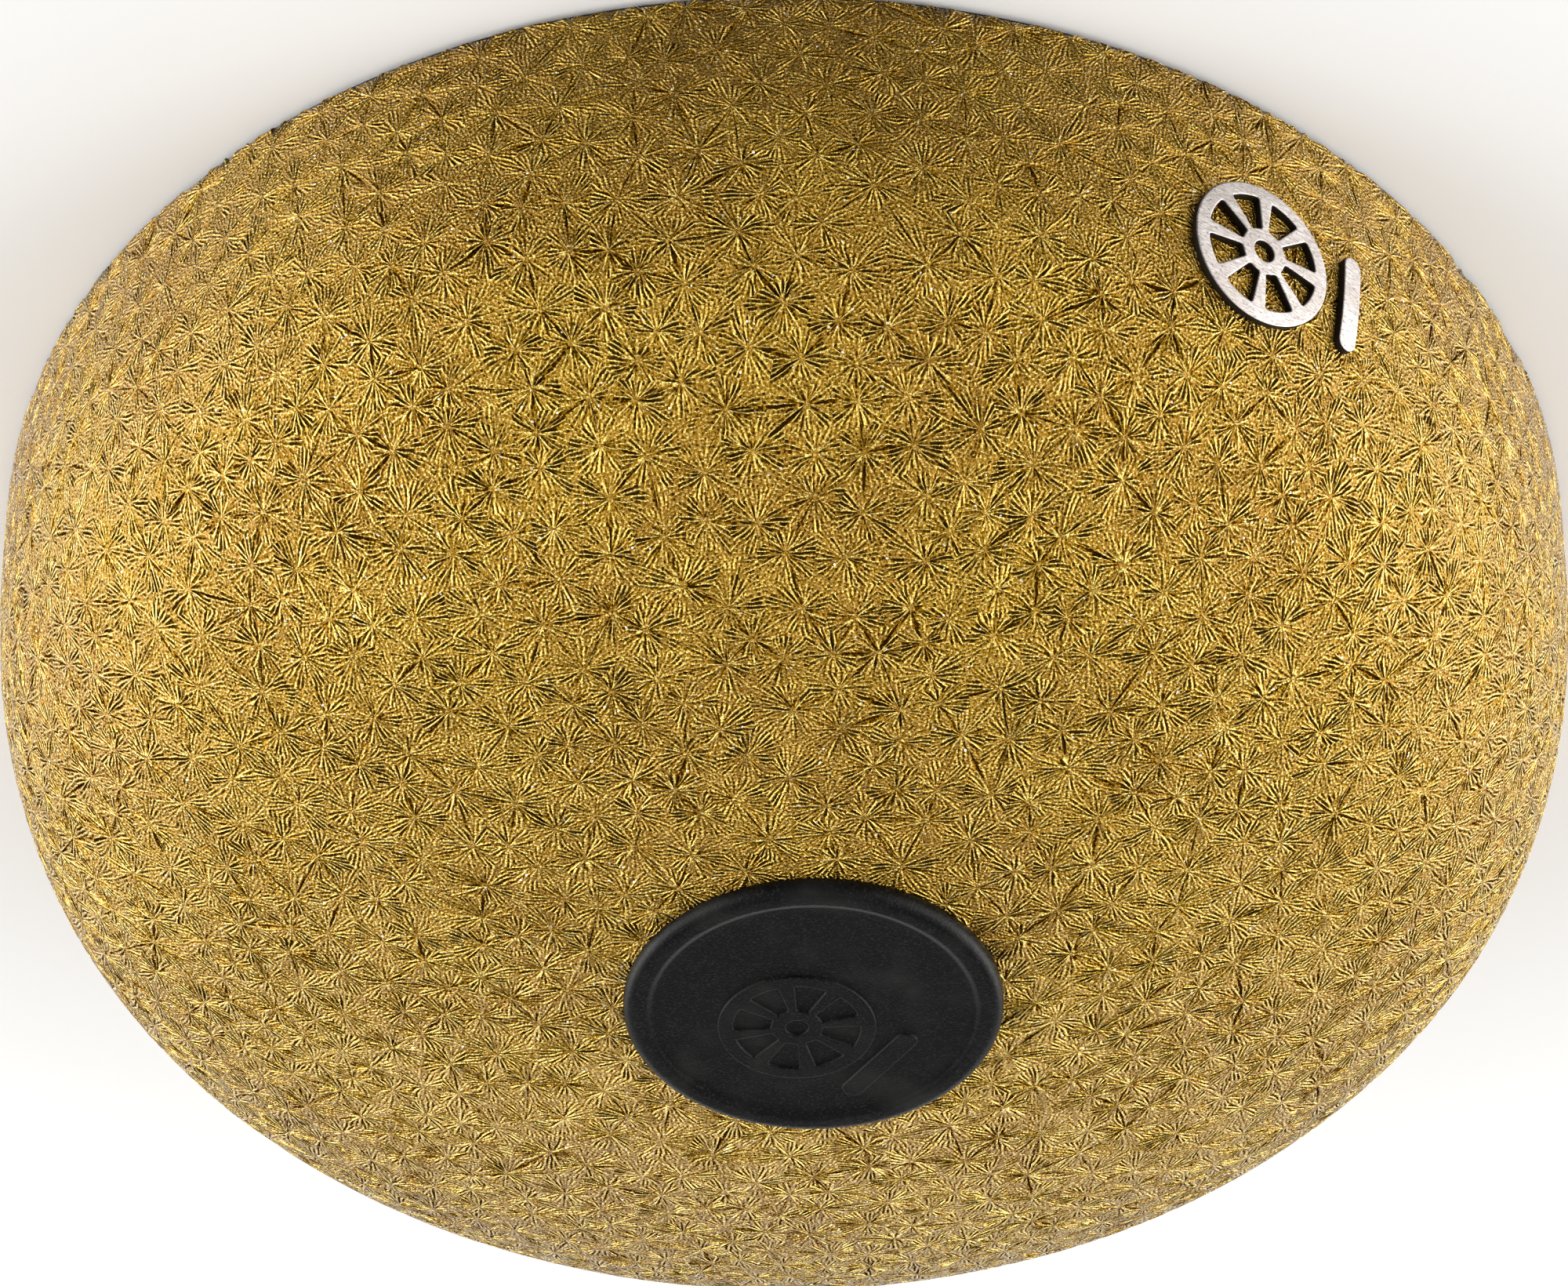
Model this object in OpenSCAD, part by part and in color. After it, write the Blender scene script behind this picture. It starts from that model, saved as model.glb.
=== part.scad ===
// Dome gong: a hollow fibreglass dome under a gold covering, open at the bottom.
// It stands on a soft seat under its rim and carries a round rubber pad on its crown.
// The origin is the centre of the face it rests on, +Z points up through the crown,
// and the badge faces -Y.

/* [Dome] */
// Outside diameter across the rim
outer_d = 400; // [360:10:460]
// Height of the gold crown above the lower edge of the covering
dome_h = 149; // [130:1:180]
// How upright the side wall stays: 2 is an ellipse, and more is boxier
wall_power = 3.6; // [2.8:0.1:4.4]
// Thickness of the fibreglass shell
shell_t = 4; // [3:0.5:5]
// Thickness of the gold covering
skin_t = 1; // [0.6:0.1:1.4]

/* [Rim] */
// Height of the stiffening hoop inside the rim
hoop_h = 16; // [10:1:24]
// Thickness of the stiffening hoop
hoop_t = 7; // [5:0.5:10]
// Thickness of the soft seat under the rim
seat_t = 1.5; // [1:0.5:3]
// How far the seat stands back from the outside of the covering
seat_inset = 1.6; // [1.2:0.2:3]
// Width of the soft seat
seat_w = 9; // [6:0.5:10]

/* [Crown pad] */
// Radius of the rubber pad
pad_r = 46.8; // [44:0.2:50]
// Height of the pad's outer edge above the covering it sits on
pad_edge_h = 4; // [3:0.5:6]
// Radius of the pad's rounded shoulder
pad_shoulder = 3; // [2:0.5:4]
// Width of the flat bead around the pad's face
pad_bead_w = 2.4; // [1.5:0.1:4]
// How far the pad's face lies below its bead
pad_dish = 0.7; // [0.5:0.1:1.2]
// Place of the pad's axis to the right of the dome's axis
pad_x = -6; // [-10:1:10]
// Place of the pad's axis behind the dome's axis
pad_y = -4; // [-10:1:10]
// Radius of the pocket in the crown that the pad's plug fills
pocket_r = 40; // [36:1:41]
// Depth of the pocket below the gold crown
pocket_d = 4.5; // [4:0.5:6]
// Thickness of fibreglass left under the pocket
boss_t = 7; // [5:1:10]

/* [Pad fixing] */
// Radius of the threaded stud
stud_r = 3; // [2.5:0.5:4]
// Radius of the steel disc moulded into the pad
insert_r = 32; // [24:1:34]
// Thickness of the steel disc
insert_t = 1.5; // [1:0.5:2]
// Depth of rubber under the steel disc
insert_lift = 1.5; // [1:0.5:2]
// Radius of the large steel washer
washer_r = 16; // [12:1:20]
// Thickness of the large steel washer
washer_t = 1.6; // [1.2:0.2:2.4]
// Thickness of the rubber washer between steel and fibreglass
cushion_t = 2; // [1:0.5:3]
// Width of the nut across its flats
nut_flats = 10; // [8:1:13]
// Height of the nut's hexagon
nut_h = 4.6; // [4:0.2:6]
// Height of the nut's round locking collar
collar_h = 1.6; // [1:0.2:2.4]
// Length of stud that shows past the nut
stud_tail = 3; // [2:0.5:6]

/* [Badge] */
// Height of the badge's centre above the covering's lower edge
badge_h = 50; // [40:1:60]
// Thickness of the badge and of its bar
badge_t = 2; // [1.5:0.1:3]
// Outside radius of the wheel-shaped badge
wheel_r = 19.5; // [16:0.5:22]
// Width of the wheel's outer ring
ring_w = 3.8; // [3:0.2:5]
// Radius of the wheel's hub
hub_r = 6.4; // [5:0.2:8]
// Radius of the hole in the hub
hub_hole_r = 2.8; // [2:0.2:4]
// Number of rays between hub and ring
rays = 8; // [5:1:12]
// Distance from the badge's centre to the bar's centre, along the dome
bar_gap = 28; // [26:1:34]
// Length of the bar
bar_l = 28; // [20:1:34]
// Width of the bar
bar_w = 5.6; // [4:0.2:8]
// Radius of the pins on the back of the badge
pin_r = 1.2; // [1:0.1:1.6]
// Radius of the spring clips on the pins
clip_r = 4.4; // [3.5:0.1:5]
// Thickness of the spring clips
clip_t = 0.8; // [0.5:0.1:1.2]

/* [Pad relief] */
// Height of the wheel and bar raised on the pad's face
relief_h = 0.5; // [0.3:0.1:0.6]
// Place of the raised wheel behind the pad's axis
relief_y = 7; // [0:1:10]
// Distance from the raised wheel's centre to the raised bar's centre
relief_gap = 25; // [24:1:28]

/* [Detail] */
// Number of conical bands in the dome's side profile
bands = 28; // [20:2:40]

/* [Hidden] */
$fn = 96;

rim_r = outer_d / 2;
crown_z = seat_t + dome_h;
wall_t = skin_t + shell_t;
overshoot = 1;

pocket_z = crown_z - pocket_d;
boss_z = pocket_z - boss_t;
boss_top_r = pocket_r + 7;
boss_foot_r = pocket_r + 2;
stud_hole_r = stud_r + 0.4;

pad_top_z = seat_t + height_at(pad_r) + pad_edge_h;
pad_face_z = pad_top_z - pad_dish;
bead_out_r = pad_r - pad_shoulder;
bead_in_r = bead_out_r - pad_bead_w;
insert_z = pocket_z + insert_lift;

cushion_z = boss_z - cushion_t;
washer_z = cushion_z - washer_t;
nut_z = washer_z - nut_h;
collar_z = nut_z - collar_h;
stud_end_z = collar_z - stud_tail;

bar_angle = -bar_gap / rim_r * 180 / PI;
pin_hole_r = pin_r + 0.2;
pin_tail = 4.5;
clip_clearance = 0.6;
wheel_pin_places = [for (a = [90, 210, 330]) (wheel_r - ring_w / 2) * [cos(a), sin(a)]];
bar_pin_places = [for (side = [-1, 1]) [0, side * bar_l * 0.32]];

// ---- Side profile of the dome -------------------------------------------------

// Angle along the profile, from 0 at the rim to 90 at the crown, spaced so that the
// bands near the rim are about as tall as those higher up.
function profile_angle(i) = 90 * pow(i / bands, wall_power / 2);

// Height of the covering above its lower edge, at a distance from the dome's axis.
function height_at(r) = dome_h * pow(1 - pow(r / rim_r, 2), 1 / wall_power);

// Radius and height of the covering at an angle along the profile.
function skin_point(a) = [rim_r * cos(a), dome_h * pow(sin(a), 2 / wall_power)];

// Outward direction of the covering at a point of the profile.
function outward(p) =
    let (
        slope = [
            2 * p[0] / pow(rim_r, 2),
            wall_power / dome_h * pow(p[1] / dome_h, wall_power - 1),
        ]
    )
    slope / norm(slope);

// The profile at a depth under the covering's outer face. A negative depth stands proud.
function profile(depth) = [
    for (i = [0 : bands])
        let (p = skin_point(profile_angle(i)))
        p - depth * outward(p)
];

// Everything inside the profile at a depth, as a solid that goes `drop` below the edge.
module dome_solid(depth, drop = 0) {
    translate([0, 0, seat_t])
        rotate_extrude()
            polygon(concat([[0, -drop], [rim_r - depth, -drop]], profile(depth)));
}

// The layer between two depths.
module dome_layer(outer_depth, inner_depth) {
    outer = profile(outer_depth);
    inner = profile(inner_depth);
    translate([0, 0, seat_t])
        rotate_extrude()
            polygon(concat(outer, [for (i = [bands : -1 : 0]) inner[i]]));
}

module tube(outer, inner, height) {
    difference() {
        cylinder(r = outer, h = height);
        translate([0, 0, -overshoot])
            cylinder(r = inner, h = height + 2 * overshoot);
    }
}

// ---- Places -------------------------------------------------------------------

// Moves its children to the pad's axis.
module at_pad(z) {
    translate([pad_x, pad_y, z])
        children();
}

// Moves its children onto the covering at the badge's height, with their +Z pointing
// straight out of the dome and their +Y up it.
module on_wall(angle) {
    r = rim_r * sqrt(1 - pow(badge_h / dome_h, wall_power));
    out = outward([r, badge_h]);
    rotate([0, 0, angle])
        translate([0, -r, seat_t + badge_h])
            rotate([90 - asin(out[1]), 0, 0])
                children();
}

module pins(places, radius, from, to) {
    for (p = places)
        translate([p[0], p[1], from])
            cylinder(r = radius, h = to - from);
}

// ---- Outlines -----------------------------------------------------------------

module wheel_outline() {
    ring_in_r = wheel_r - ring_w;
    difference() {
        circle(r = wheel_r);
        circle(r = ring_in_r);
    }
    difference() {
        union() {
            circle(r = hub_r);
            for (i = [0 : rays - 1])
                rotate(90 + i * 360 / rays)
                    polygon([
                        [hub_r - 1, -0.9], [ring_in_r + 0.6, -2.1],
                        [ring_in_r + 0.6, 2.1], [hub_r - 1, 0.9],
                    ]);
        }
        circle(r = hub_hole_r);
    }
}

module bar_outline() {
    end_y = (bar_l - bar_w) / 2;
    square([bar_w, 2 * end_y], center = true);
    for (side = [-1, 1])
        translate([0, side * end_y])
            circle(d = bar_w);
}

// ---- Cuts shared by the shell, the covering and the pad -------------------------

module pad_pocket() {
    at_pad(pocket_z)
        cylinder(r = pocket_r, h = 2 * pocket_d);
}

module pin_holes() {
    on_wall(0)
        pins(wheel_pin_places, pin_hole_r, -4 * wall_t, overshoot);
    on_wall(bar_angle)
        pins(bar_pin_places, pin_hole_r, -4 * wall_t, overshoot);
}

// The air inside the shell: it stops at the thick boss under the pad.
module hollow() {
    difference() {
        dome_solid(wall_t, drop = overshoot);
        at_pad(boss_z)
            cylinder(r1 = boss_foot_r, r2 = boss_top_r, h = 2 * boss_t);
    }
}

// ---- Dome -----------------------------------------------------------------------

module shell() {
    color("dimgray")
        difference() {
            dome_solid(skin_t);
            hollow();
            pad_pocket();
            pin_holes();
            at_pad(boss_z - overshoot)
                cylinder(r = stud_hole_r, h = 2 * boss_t);
        }
}

module outer_skin() {
    color("goldenrod")
        difference() {
            dome_layer(0, skin_t);
            pad_pocket();
            pin_holes();
        }
}

module rim_hoop() {
    color("burlywood")
        intersection() {
            dome_solid(wall_t);
            translate([0, 0, seat_t])
                tube(rim_r, rim_r - wall_t - hoop_t, hoop_h);
        }
}

module rim_seat() {
    color("black")
        tube(rim_r - seat_inset, rim_r - seat_inset - seat_w, seat_t);
}

// ---- Crown pad and its fixing -----------------------------------------------------

module pad_blank() {
    shoulder = [
        for (a = [0 : 15 : 90])
            [bead_out_r + pad_shoulder * cos(a), pad_top_z - pad_shoulder * (1 - sin(a))]
    ];
    rotate_extrude()
        polygon(concat(
            [[0, pocket_z], [pad_r, pocket_z]],
            shoulder,
            [[bead_in_r, pad_top_z], [bead_in_r - 2 * pad_dish, pad_face_z], [0, pad_face_z]]
        ));
}

module pad_relief() {
    translate([0, relief_y, 0])
        linear_extrude(height = relief_h) {
            wheel_outline();
            translate([-relief_gap, 0])
                bar_outline();
        }
}

module insert_body() {
    translate([0, 0, insert_z])
        cylinder(r = insert_r, h = insert_t);
    translate([0, 0, stud_end_z])
        cylinder(r = stud_r, h = insert_z - stud_end_z + insert_t / 2);
}

module crown_pad() {
    color([0.13, 0.13, 0.13])
        difference() {
            at_pad(0) {
                pad_blank();
                translate([0, 0, pad_face_z])
                    pad_relief();
            }
            difference() {
                dome_solid(0);
                pad_pocket();
            }
            at_pad(0)
                insert_body();
        }
}

module pad_insert() {
    color("silver")
        at_pad(0)
            insert_body();
}

module cushion_washer() {
    color("black")
        at_pad(cushion_z)
            tube(washer_r, stud_hole_r, cushion_t);
}

module load_washer() {
    color("silver")
        at_pad(washer_z)
            tube(washer_r, stud_hole_r, washer_t);
}

module lock_nut() {
    color("lightsteelblue")
        at_pad(0)
            difference() {
                union() {
                    translate([0, 0, nut_z])
                        cylinder(d = nut_flats / cos(30), h = nut_h, $fn = 6);
                    translate([0, 0, collar_z])
                        cylinder(d = nut_flats * 0.92, h = collar_h + overshoot);
                }
                translate([0, 0, collar_z - overshoot])
                    cylinder(r = stud_r, h = nut_h + collar_h + 2 * overshoot);
            }
}

// ---- Badge ------------------------------------------------------------------------

// Cuts an outline out of a layer that lies on the covering, and adds its pins.
module badge(angle, places) {
    intersection() {
        dome_layer(-badge_t, 0);
        on_wall(angle)
            translate([0, 0, -4 * badge_t])
                linear_extrude(height = 8 * badge_t)
                    children();
    }
    difference() {
        on_wall(angle)
            pins(places, pin_r, -wall_t - pin_tail, 0);
        difference() {
            dome_layer(-4 * badge_t, 0);
            dome_layer(-badge_t / 2, 0);
        }
    }
}

// A spring clip on each pin, just clear of the shell's curved inner face.
module clips(angle, places) {
    on_wall(angle)
        for (p = places)
            translate([p[0], p[1], -wall_t - clip_clearance - clip_t - norm(p) * norm(p) / rim_r / 2])
                tube(clip_r, pin_r, clip_t);
}

module badge_wheel() {
    color("gainsboro")
        badge(0, wheel_pin_places)
            wheel_outline();
}

module badge_bar() {
    color("gainsboro")
        badge(bar_angle, bar_pin_places)
            bar_outline();
}

module wheel_clips() {
    color("slategray")
        clips(0, wheel_pin_places);
}

module bar_clips() {
    color("slategray")
        clips(bar_angle, bar_pin_places);
}

shell();
outer_skin();
rim_hoop();
rim_seat();
crown_pad();
pad_insert();
cushion_washer();
load_washer();
lock_nut();
badge_wheel();
badge_bar();
wheel_clips();
bar_clips();
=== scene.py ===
import math

import bpy
import numpy as np
from mathutils import Matrix, Vector
from mathutils.geometry import delaunay_2d_cdt


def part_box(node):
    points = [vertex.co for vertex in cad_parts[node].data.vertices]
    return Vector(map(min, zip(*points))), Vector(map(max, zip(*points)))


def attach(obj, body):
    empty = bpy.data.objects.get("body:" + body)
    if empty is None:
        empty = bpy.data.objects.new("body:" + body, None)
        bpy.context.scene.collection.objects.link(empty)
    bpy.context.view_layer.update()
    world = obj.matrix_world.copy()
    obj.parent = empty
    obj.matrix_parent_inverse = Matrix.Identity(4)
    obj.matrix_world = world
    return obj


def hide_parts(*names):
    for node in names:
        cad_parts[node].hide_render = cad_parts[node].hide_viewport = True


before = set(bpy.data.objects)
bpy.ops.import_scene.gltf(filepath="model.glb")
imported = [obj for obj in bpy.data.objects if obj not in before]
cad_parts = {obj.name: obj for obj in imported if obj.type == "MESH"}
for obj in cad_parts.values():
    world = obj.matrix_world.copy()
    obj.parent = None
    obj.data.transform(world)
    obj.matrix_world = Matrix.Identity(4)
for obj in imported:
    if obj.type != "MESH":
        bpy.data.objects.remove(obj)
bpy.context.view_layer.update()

MM = 0.001
AXIS_R = 0.01 * MM  # a turned shape's smallest ring, in place of one point

# ---- Sizes of the part, in metres ------------

RIM_R = 200 * MM  # outside radius of the covering
DOME_H = 149 * MM  # crown above the covering's lower edge
WALL_POWER = 3.6  # how upright the side wall stays
SEAT_T = 1.5 * MM
SEAT_INSET = 1.6 * MM
SEAT_W = 9 * MM
SKIN_T = 1 * MM
WALL_T = 5 * MM  # covering and shell together
HOOP_H = 16 * MM
HOOP_T = 7 * MM
EDGE_Z = SEAT_T  # height of the covering's lower edge

PAD_AXIS = Vector((-6 * MM, -4 * MM))
PAD_R = 46.8 * MM
PAD_SHOULDER = 3 * MM
PAD_BEAD_W = 2.4 * MM
PAD_DISH = 0.7 * MM
PAD_SLOPE_W = 2 * MM  # from the bead down to the dished face
PAD_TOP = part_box("crown_pad")[1].z
POCKET_R = 40 * MM
POCKET_Z = 146 * MM
BOSS_Z = 139 * MM
BOSS_FOOT_R = 42 * MM
BOSS_SLOPE = 14 / 5
HOLE_R = 3.4 * MM

INSERT_R = 32 * MM
INSERT_LOW, INSERT_HIGH = 147.5 * MM, 149 * MM
STUD_R = 3 * MM
STUD_LOW = 126.2 * MM
THREAD_PITCH = 1 * MM
THREAD_DEPTH = 0.45 * MM
WASHER_R = 16 * MM
LOAD_LOW, LOAD_HIGH = 135.4 * MM, 137 * MM
NUT_HALF = 5 * MM  # from the nut's axis to a flat
NUT_LOW = 130.8 * MM
NUT_BORE_R = 2.6 * MM
COLLAR_R = 4.6 * MM
COLLAR_LOW = 129.2 * MM

BADGE_H = 50 * MM
BADGE_T = 2 * MM
BADGE_BEVEL = 0.45 * MM
WHEEL_R = 19.5 * MM
RING_W = 3.8 * MM
HUB_R = 6.4 * MM
HUB_HOLE_R = 2.8 * MM
SPOKES = 8
SPOKE_HALF_IN = 0.9 * MM  # half the spoke's width at the hub
SPOKE_HALF_OUT = 2.1 * MM  # half its width at the ring
BAR_L = 28 * MM
BAR_W = 5.6 * MM
BAR_ANGLE = -28 * MM / RIM_R  # from the wheel's middle, round the dome
PIN_R = 1.2 * MM
PIN_END = 9.5 * MM
CLIP_R = 4.4 * MM
CLIP_T = 0.4 * MM

RELIEF_H = 0.5 * MM  # wheel and bar on the pad's face
RELIEF_Y = 7 * MM
RELIEF_GAP = 25 * MM


# ---- Helpers ------------


def smoothstep(low, high, x):
    t = np.clip((x - low) / (high - low), 0, 1)
    return t * t * (3 - 2 * t)


def circle_angles(count):
    return np.arange(count) * 2 * math.pi / count


def corner_curve(start, corner, end, steps):
    """Points of a smooth curve that takes the place of a sharp corner."""
    return [
        (1 - s) ** 2 * start + 2 * s * (1 - s) * corner + s * s * end
        for s in np.linspace(0, 1, steps + 1)
    ]


def link_mesh(name, mesh):
    piece = bpy.data.objects.new(name, mesh)
    bpy.context.scene.collection.objects.link(piece)
    return piece


def new_mesh(name, points, faces, sharp_angle=None):
    """A smooth mesh from points and faces, with sharp edges above an angle in degrees."""
    mesh = bpy.data.meshes.new(name)
    mesh.from_pydata([tuple(p) for p in points], [], [tuple(f) for f in faces])
    mesh.polygons.foreach_set("use_smooth", np.ones(len(faces), bool))
    mesh.update()
    if sharp_angle:
        mesh.set_sharp_from_angle(angle=math.radians(sharp_angle))
    return mesh


class Parts:
    """Collects closed shapes that together make one piece.

    A value for each point says how far its material is painted dark there: painted shade on a
    badge's walls, to which the badge's material adds dirt along its brush lines.
    """

    def __init__(self):
        self.points = []
        self.faces = []
        self.shade_and_grime = []

    def add(self, points, faces, shade_and_grime=None):
        first = len(self.points)
        self.points += [tuple(p) for p in points]
        self.faces += [tuple(i + first for i in face) for face in faces]
        self.shade_and_grime += list(np.zeros(len(points)) if shade_and_grime is None else shade_and_grime)

    def piece(self, name, node, slot, material, sharp_angle=40):
        mesh = new_mesh(name, self.points, self.faces, sharp_angle)
        keep_values(mesh, "shade_and_grime", self.shade_and_grime)
        return dress(link_mesh(name, mesh), node, material)


def keep_values(mesh, name, values, kind="FLOAT", domain="POINT"):
    """Stores a value for each point or face corner, which a material reads by name."""
    mesh.attributes.new(name, kind, domain)
    field = "vector" if kind == "FLOAT_VECTOR" else "value"
    mesh.attributes[name].data.foreach_set(field, np.asarray(values, np.float32).ravel())


def dress(piece, node, material):
    """Gives a piece its material, its body and the CAD node it stands for."""
    piece.data.materials.append(material)
    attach(piece, "root")
    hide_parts(node)
    return piece


def lathe(section, segments, centre=(0, 0), closed=True):
    """Turns a section of (r, z) points about an upright axis, as one ring after another.

    A closed section runs back to its first point. An open one starts and ends on the axis.
    """
    turn = circle_angles(segments)
    section = np.asarray(section, float)
    points = np.empty((len(section), segments, 3))
    points[..., 0] = centre[0] + section[:, :1] * np.cos(turn)
    points[..., 1] = centre[1] + section[:, :1] * np.sin(turn)
    points[..., 2] = section[:, 1:]
    return points.reshape(-1, 3), ring_faces(len(section), segments, closed)


def band(low, high, segments):
    """Quads between two rings of points, each numbered from its first point."""
    ends = [(k, (k + 1) % segments) for k in range(segments)]
    return [(low + k, low + n, high + n, high + k) for k, n in ends]


def ring_faces(rings, segments, closed):
    """Quads between neighbouring rings of points, with flat ends on an open run of rings."""
    faces = []
    for i in range(rings if closed else rings - 1):
        faces += band(i * segments, (i + 1) % rings * segments, segments)
    if not closed:
        faces.append(tuple(reversed(range(segments))))
        last = (rings - 1) * segments
        faces.append(tuple(range(last, last + segments)))
    return faces


def rounded(corners, steps=4):
    """Section points with each corner (r, z, radius) rounded. The section runs anticlockwise."""
    found = []
    count = len(corners)
    for i, (x, z, radius) in enumerate(corners):
        here = np.array([x, z])
        if radius == 0:
            found.append(here)
            continue
        before = np.array(corners[i - 1][:2]) - here
        after = np.array(corners[(i + 1) % count][:2]) - here
        start = here + before / np.linalg.norm(before) * radius
        end = here + after / np.linalg.norm(after) * radius
        found += corner_curve(start, here, end, steps)
    return np.array(found)


# ---- The dome's surface ------------


def height_at(r):
    """Height of the covering above its lower edge, at a distance from the dome's axis."""
    return DOME_H * np.maximum(0, 1 - (r / RIM_R) ** 2) ** (1 / WALL_POWER)


def dome_profile(depth, samples):
    """(r, z) from the crown to the lower edge, at a depth under the covering's face."""
    angle = math.pi / 2 * np.linspace(1, 0, samples) ** (WALL_POWER / 2)
    r = RIM_R * np.cos(angle)
    z = DOME_H * np.sin(angle) ** (2 / WALL_POWER)
    out_r = 2 * r / RIM_R**2
    out_z = WALL_POWER / DOME_H * (z / DOME_H) ** (WALL_POWER - 1)
    size = np.hypot(out_r, out_z)
    return r - depth * out_r / size, EDGE_Z + z - depth * out_z / size


class Covering:
    """The covering's outer face as a line walked from the crown to the rim and under it.

    map_r grows with the walk so that small circles on the dome are circles on a flat map.
    """

    edge_round = 0.5 * MM  # radius of the rim's lower edge
    flat_start = 1 * MM  # inside this radius the map is the dome itself
    spare = 26 * MM  # how far the walk goes on under the rim

    def __init__(self):
        r, z = dome_profile(0, 6000)
        keep = z > EDGE_Z + self.edge_round
        r, z = r[keep], z[keep]
        rim = len(r) - 1
        turn = np.linspace(0, math.pi / 2, 12)[1:]
        inward = np.linspace(0, self.spare, 60)[1:]
        round_r = r[-1] - self.edge_round * (1 - np.cos(turn))
        round_z = EDGE_Z + self.edge_round * (1 - np.sin(turn))
        r = np.concatenate([r, round_r, round_r[-1] - inward])
        z = np.concatenate([z, round_z, np.full_like(inward, EDGE_Z)])
        step = np.hypot(np.diff(r), np.diff(z))
        self.r, self.z = r, z
        self.walk = np.concatenate([[0], np.cumsum(step)])
        self.rim_walk = self.walk[rim]
        self.end_walk = self.walk[rim + len(turn)] + SKIN_T - self.edge_round
        growth = np.concatenate([[0], np.cumsum(step / np.maximum((r[1:] + r[:-1]) / 2, 1e-6))])
        start = np.searchsorted(r, self.flat_start)
        grown = r[start] * np.exp(growth - growth[start])
        self.map_r = np.where(np.arange(len(r)) < start, r, grown)
        self.normal_r = -np.gradient(z, self.walk)
        self.normal_z = np.gradient(r, self.walk)

    def walk_at(self, map_r):
        return np.interp(map_r, self.map_r, self.walk)

    def at(self, walk, phi, height):
        """Points in space, raised from the covering's face along its own normal."""
        normal_r = np.interp(walk, self.walk, self.normal_r)
        normal_z = np.interp(walk, self.walk, self.normal_z)
        r = np.interp(walk, self.walk, self.r) + height * normal_r
        z = np.interp(walk, self.walk, self.z) + height * normal_z
        return np.stack([r * np.cos(phi), r * np.sin(phi), z], -1)

    def map_scale(self, map_r):
        """Metres on the dome for one unit on the map."""
        return np.interp(map_r, self.map_r, self.r) / np.maximum(map_r, 1e-6)


covering = Covering()
BADGE_WALK = float(np.interp(EDGE_Z + BADGE_H, covering.z[::-1], covering.walk[::-1]))


def on_wall(points, angle):
    """Lays flat badge points (across, up, out) on the dome at the badge's height."""
    walk = BADGE_WALK - points[..., 1]
    r = np.interp(walk, covering.walk, covering.r)
    return covering.at(walk, angle - math.pi / 2 + points[..., 0] / r, points[..., 2])


# ---- Gold covering: stars of wrinkles ------------

STAR_SPACING = (8.0 * MM, 14.2 * MM)  # smallest distance between two stars, from and to
STAR_TRIES = 30000
RAY_STEP = 0.66 * MM  # between two rays where neighbouring stars meet
RING_SHARE = 0.38  # where a ray bends, as a share of the way out
RAY_HEIGHT = 0.14 * MM
KNOT_HEIGHT = 0.16 * MM
CREASE_HEIGHT = -2.0  # long crease from star to star, in ray heights
CREASED_SHARE = 0.5  # how many neighbouring stars a long crease joins
LUMP_HEIGHT = 0.08 * MM


def scatter_stars(rng):
    """Places of the stars on the flat map, spread evenly over the dome."""
    area = np.concatenate([[0], np.cumsum(np.diff(covering.walk) * covering.r[1:])])
    walk = np.interp(rng.random(STAR_TRIES) * area[-1], area, covering.walk)
    phi = rng.random(STAR_TRIES) * 2 * math.pi
    spacing = rng.uniform(*STAR_SPACING, STAR_TRIES) ** 2
    place = covering.at(walk, phi, 0.0)
    taken = np.full((STAR_TRIES, 3), 9.0)
    chosen = []
    for i in range(STAR_TRIES):
        away = taken[: len(chosen) + 1] - place[i]
        if (away * away).sum(1).min() > spacing[i]:
            taken[len(chosen)] = place[i]
            chosen.append(i)
    map_r = np.interp(walk[chosen], covering.walk, covering.map_r)
    return np.stack([map_r * np.cos(phi[chosen]), map_r * np.sin(phi[chosen])], 1)


def circumcentres(a, b, c):
    """Centres of the circles through three rows of points."""
    ab, ac = b - a, c - a
    double = 2 * (ab[:, 0] * ac[:, 1] - ab[:, 1] * ac[:, 0])
    ab2, ac2 = (ab * ab).sum(1), (ac * ac).sum(1)
    x = (ac[:, 1] * ab2 - ab[:, 1] * ac2) / double
    y = (ab[:, 0] * ac2 - ac[:, 0] * ab2) / double
    return a + np.stack([x, y], 1)


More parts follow.
